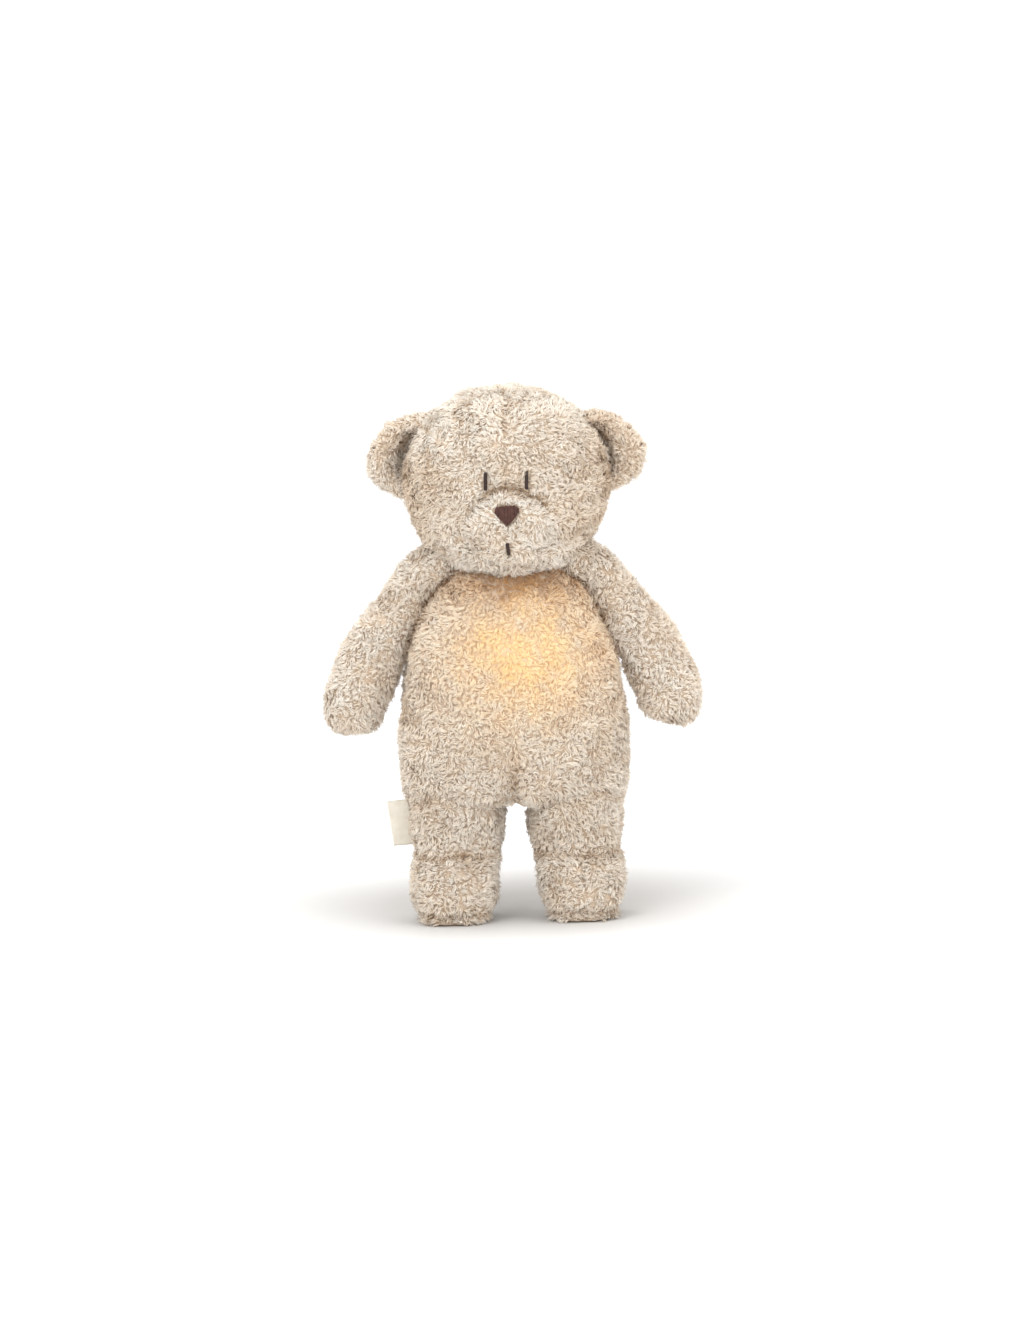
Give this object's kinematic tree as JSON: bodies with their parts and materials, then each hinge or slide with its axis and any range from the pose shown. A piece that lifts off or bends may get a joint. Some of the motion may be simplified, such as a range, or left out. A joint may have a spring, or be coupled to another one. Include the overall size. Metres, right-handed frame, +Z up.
{
  "type": "plush night light",
  "caption": "Standing plush teddy bear night light: a light and sound module sits in a belly pocket behind a flap at the back; head, ears, arms and legs move.",
  "frame": {"origin": "centre of the overall box in X and Y, on the surface that the soles stand on", "axes": "+Z up, the bear faces -Y, +X to the bear's left"},
  "size_m": [0.211, 0.1054, 0.2975],
  "materials": {
    "plush": "oatmeal teddy plush with a short curly pile",
    "thread": "dark brown satin stitch",
    "label": "cream woven tape",
    "lining": "plain lining",
    "fastener": "touch fastener tape",
    "diffuser": "milky translucent",
    "housing": "fine moulded texture",
    "board": "solder mask",
    "led": "warm clear lens",
    "speaker": "black",
    "cone": "pressed paper",
    "steel": "plated",
    "cell": "plain wrapped cell",
    "button": "soft touch"
  },
  "bodies": {
    "torso": {"torso": "plush", "pocket_liner": "lining", "loop_strip": "fastener", "front_diffuser": "diffuser", "rear_housing": "housing", "battery_door": "housing", "circuit_board": "board", "led_1": "led", "led_2": "led", "led_3": "led", "speaker_frame": "speaker", "speaker_cone": "cone", "microphone": "steel", "battery_1": "cell", "battery_2": "cell", "battery_3": "cell", "battery_spring_1": "steel", "battery_spring_2": "steel", "battery_spring_3": "steel", "contact_plate": "steel", "door_screw": "steel", "housing_screw_1": "steel", "housing_screw_2": "steel", "housing_screw_3": "steel", "housing_screw_4": "steel"},
    "head": {"head": "plush", "muzzle": "plush", "nose": "thread", "left_eye": "thread", "right_eye": "thread", "mouth_stitch": "thread"},
    "left_ear": {"left_ear": "plush"},
    "right_ear": {"right_ear": "plush"},
    "left_arm": {"left_arm": "plush"},
    "right_arm": {"right_arm": "plush"},
    "left_leg": {"left_leg": "plush", "left_foot": "plush", "left_sole": "plush"},
    "right_leg": {"right_leg": "plush", "right_foot": "plush", "right_sole": "plush", "side_label": "label"},
    "flap": {"closure_flap": "plush", "hook_strip": "fastener"},
    "play_button": {"play_button": "button"},
    "light_button": {"light_button": "button"},
    "volume_down_button": {"volume_down_button": "button"},
    "volume_up_button": {"volume_up_button": "button"},
    "power_switch": {"power_switch": "button"}
  },
  "joints": [
    {"name": "head_turn", "type": "hinge", "parent": "torso", "child": "head", "pos_m": [0, 0.00298, 0.1905], "axis": [0, 0, 1], "range_deg": [-30, 30], "stiffness_Nm_per_rad": 0.2},
    {"name": "left_ear_fold", "type": "hinge", "parent": "head", "child": "left_ear", "pos_m": [0.0565, 0.00498, 0.2575], "axis": [0, 0, 1], "range_deg": [-12, 12], "stiffness_Nm_per_rad": 0.02},
    {"name": "right_ear_fold", "type": "hinge", "parent": "head", "child": "right_ear", "pos_m": [-0.0565, 0.00498, 0.2575], "axis": [0, 0, -1], "range_deg": [-12, 12], "stiffness_Nm_per_rad": 0.02},
    {"name": "left_arm_raise", "type": "hinge", "parent": "torso", "child": "left_arm", "pos_m": [0.044, 0.00298, 0.1915], "axis": [0, -1, 0], "range_deg": [0, 55]},
    {"name": "right_arm_raise", "type": "hinge", "parent": "torso", "child": "right_arm", "pos_m": [-0.044, 0.00298, 0.1915], "axis": [0, 1, 0], "range_deg": [0, 55]},
    {"name": "left_leg_swing", "type": "hinge", "parent": "torso", "child": "left_leg", "pos_m": [0.0326, 0.00298, 0.058], "axis": [-1, 0, 0], "range_deg": [0, 40], "stiffness_Nm_per_rad": 1},
    {"name": "right_leg_swing", "type": "hinge", "parent": "torso", "child": "right_leg", "pos_m": [-0.0326, 0.00298, 0.058], "axis": [-1, 0, 0], "range_deg": [0, 40], "stiffness_Nm_per_rad": 1},
    {"name": "flap_open", "type": "hinge", "parent": "torso", "child": "flap", "pos_m": [0, 0.03346, 0.184], "axis": [1, 0, 0], "range_deg": [0, 110]},
    {"name": "play_press", "type": "slide", "parent": "torso", "child": "play_button", "axis": [0, -1, 0], "range_m": [0, 0.0008], "stiffness_N_per_m": 500},
    {"name": "light_press", "type": "slide", "parent": "torso", "child": "light_button", "axis": [0, -1, 0], "range_m": [0, 0.0008], "stiffness_N_per_m": 500},
    {"name": "volume_down_press", "type": "slide", "parent": "torso", "child": "volume_down_button", "axis": [0, -1, 0], "range_m": [0, 0.0008], "stiffness_N_per_m": 500},
    {"name": "volume_up_press", "type": "slide", "parent": "torso", "child": "volume_up_button", "axis": [0, -1, 0], "range_m": [0, 0.0008], "stiffness_N_per_m": 500},
    {"name": "power_slide", "type": "slide", "parent": "torso", "child": "power_switch", "axis": [1, 0, 0], "range_m": [-0.003, 0]}
  ]
}
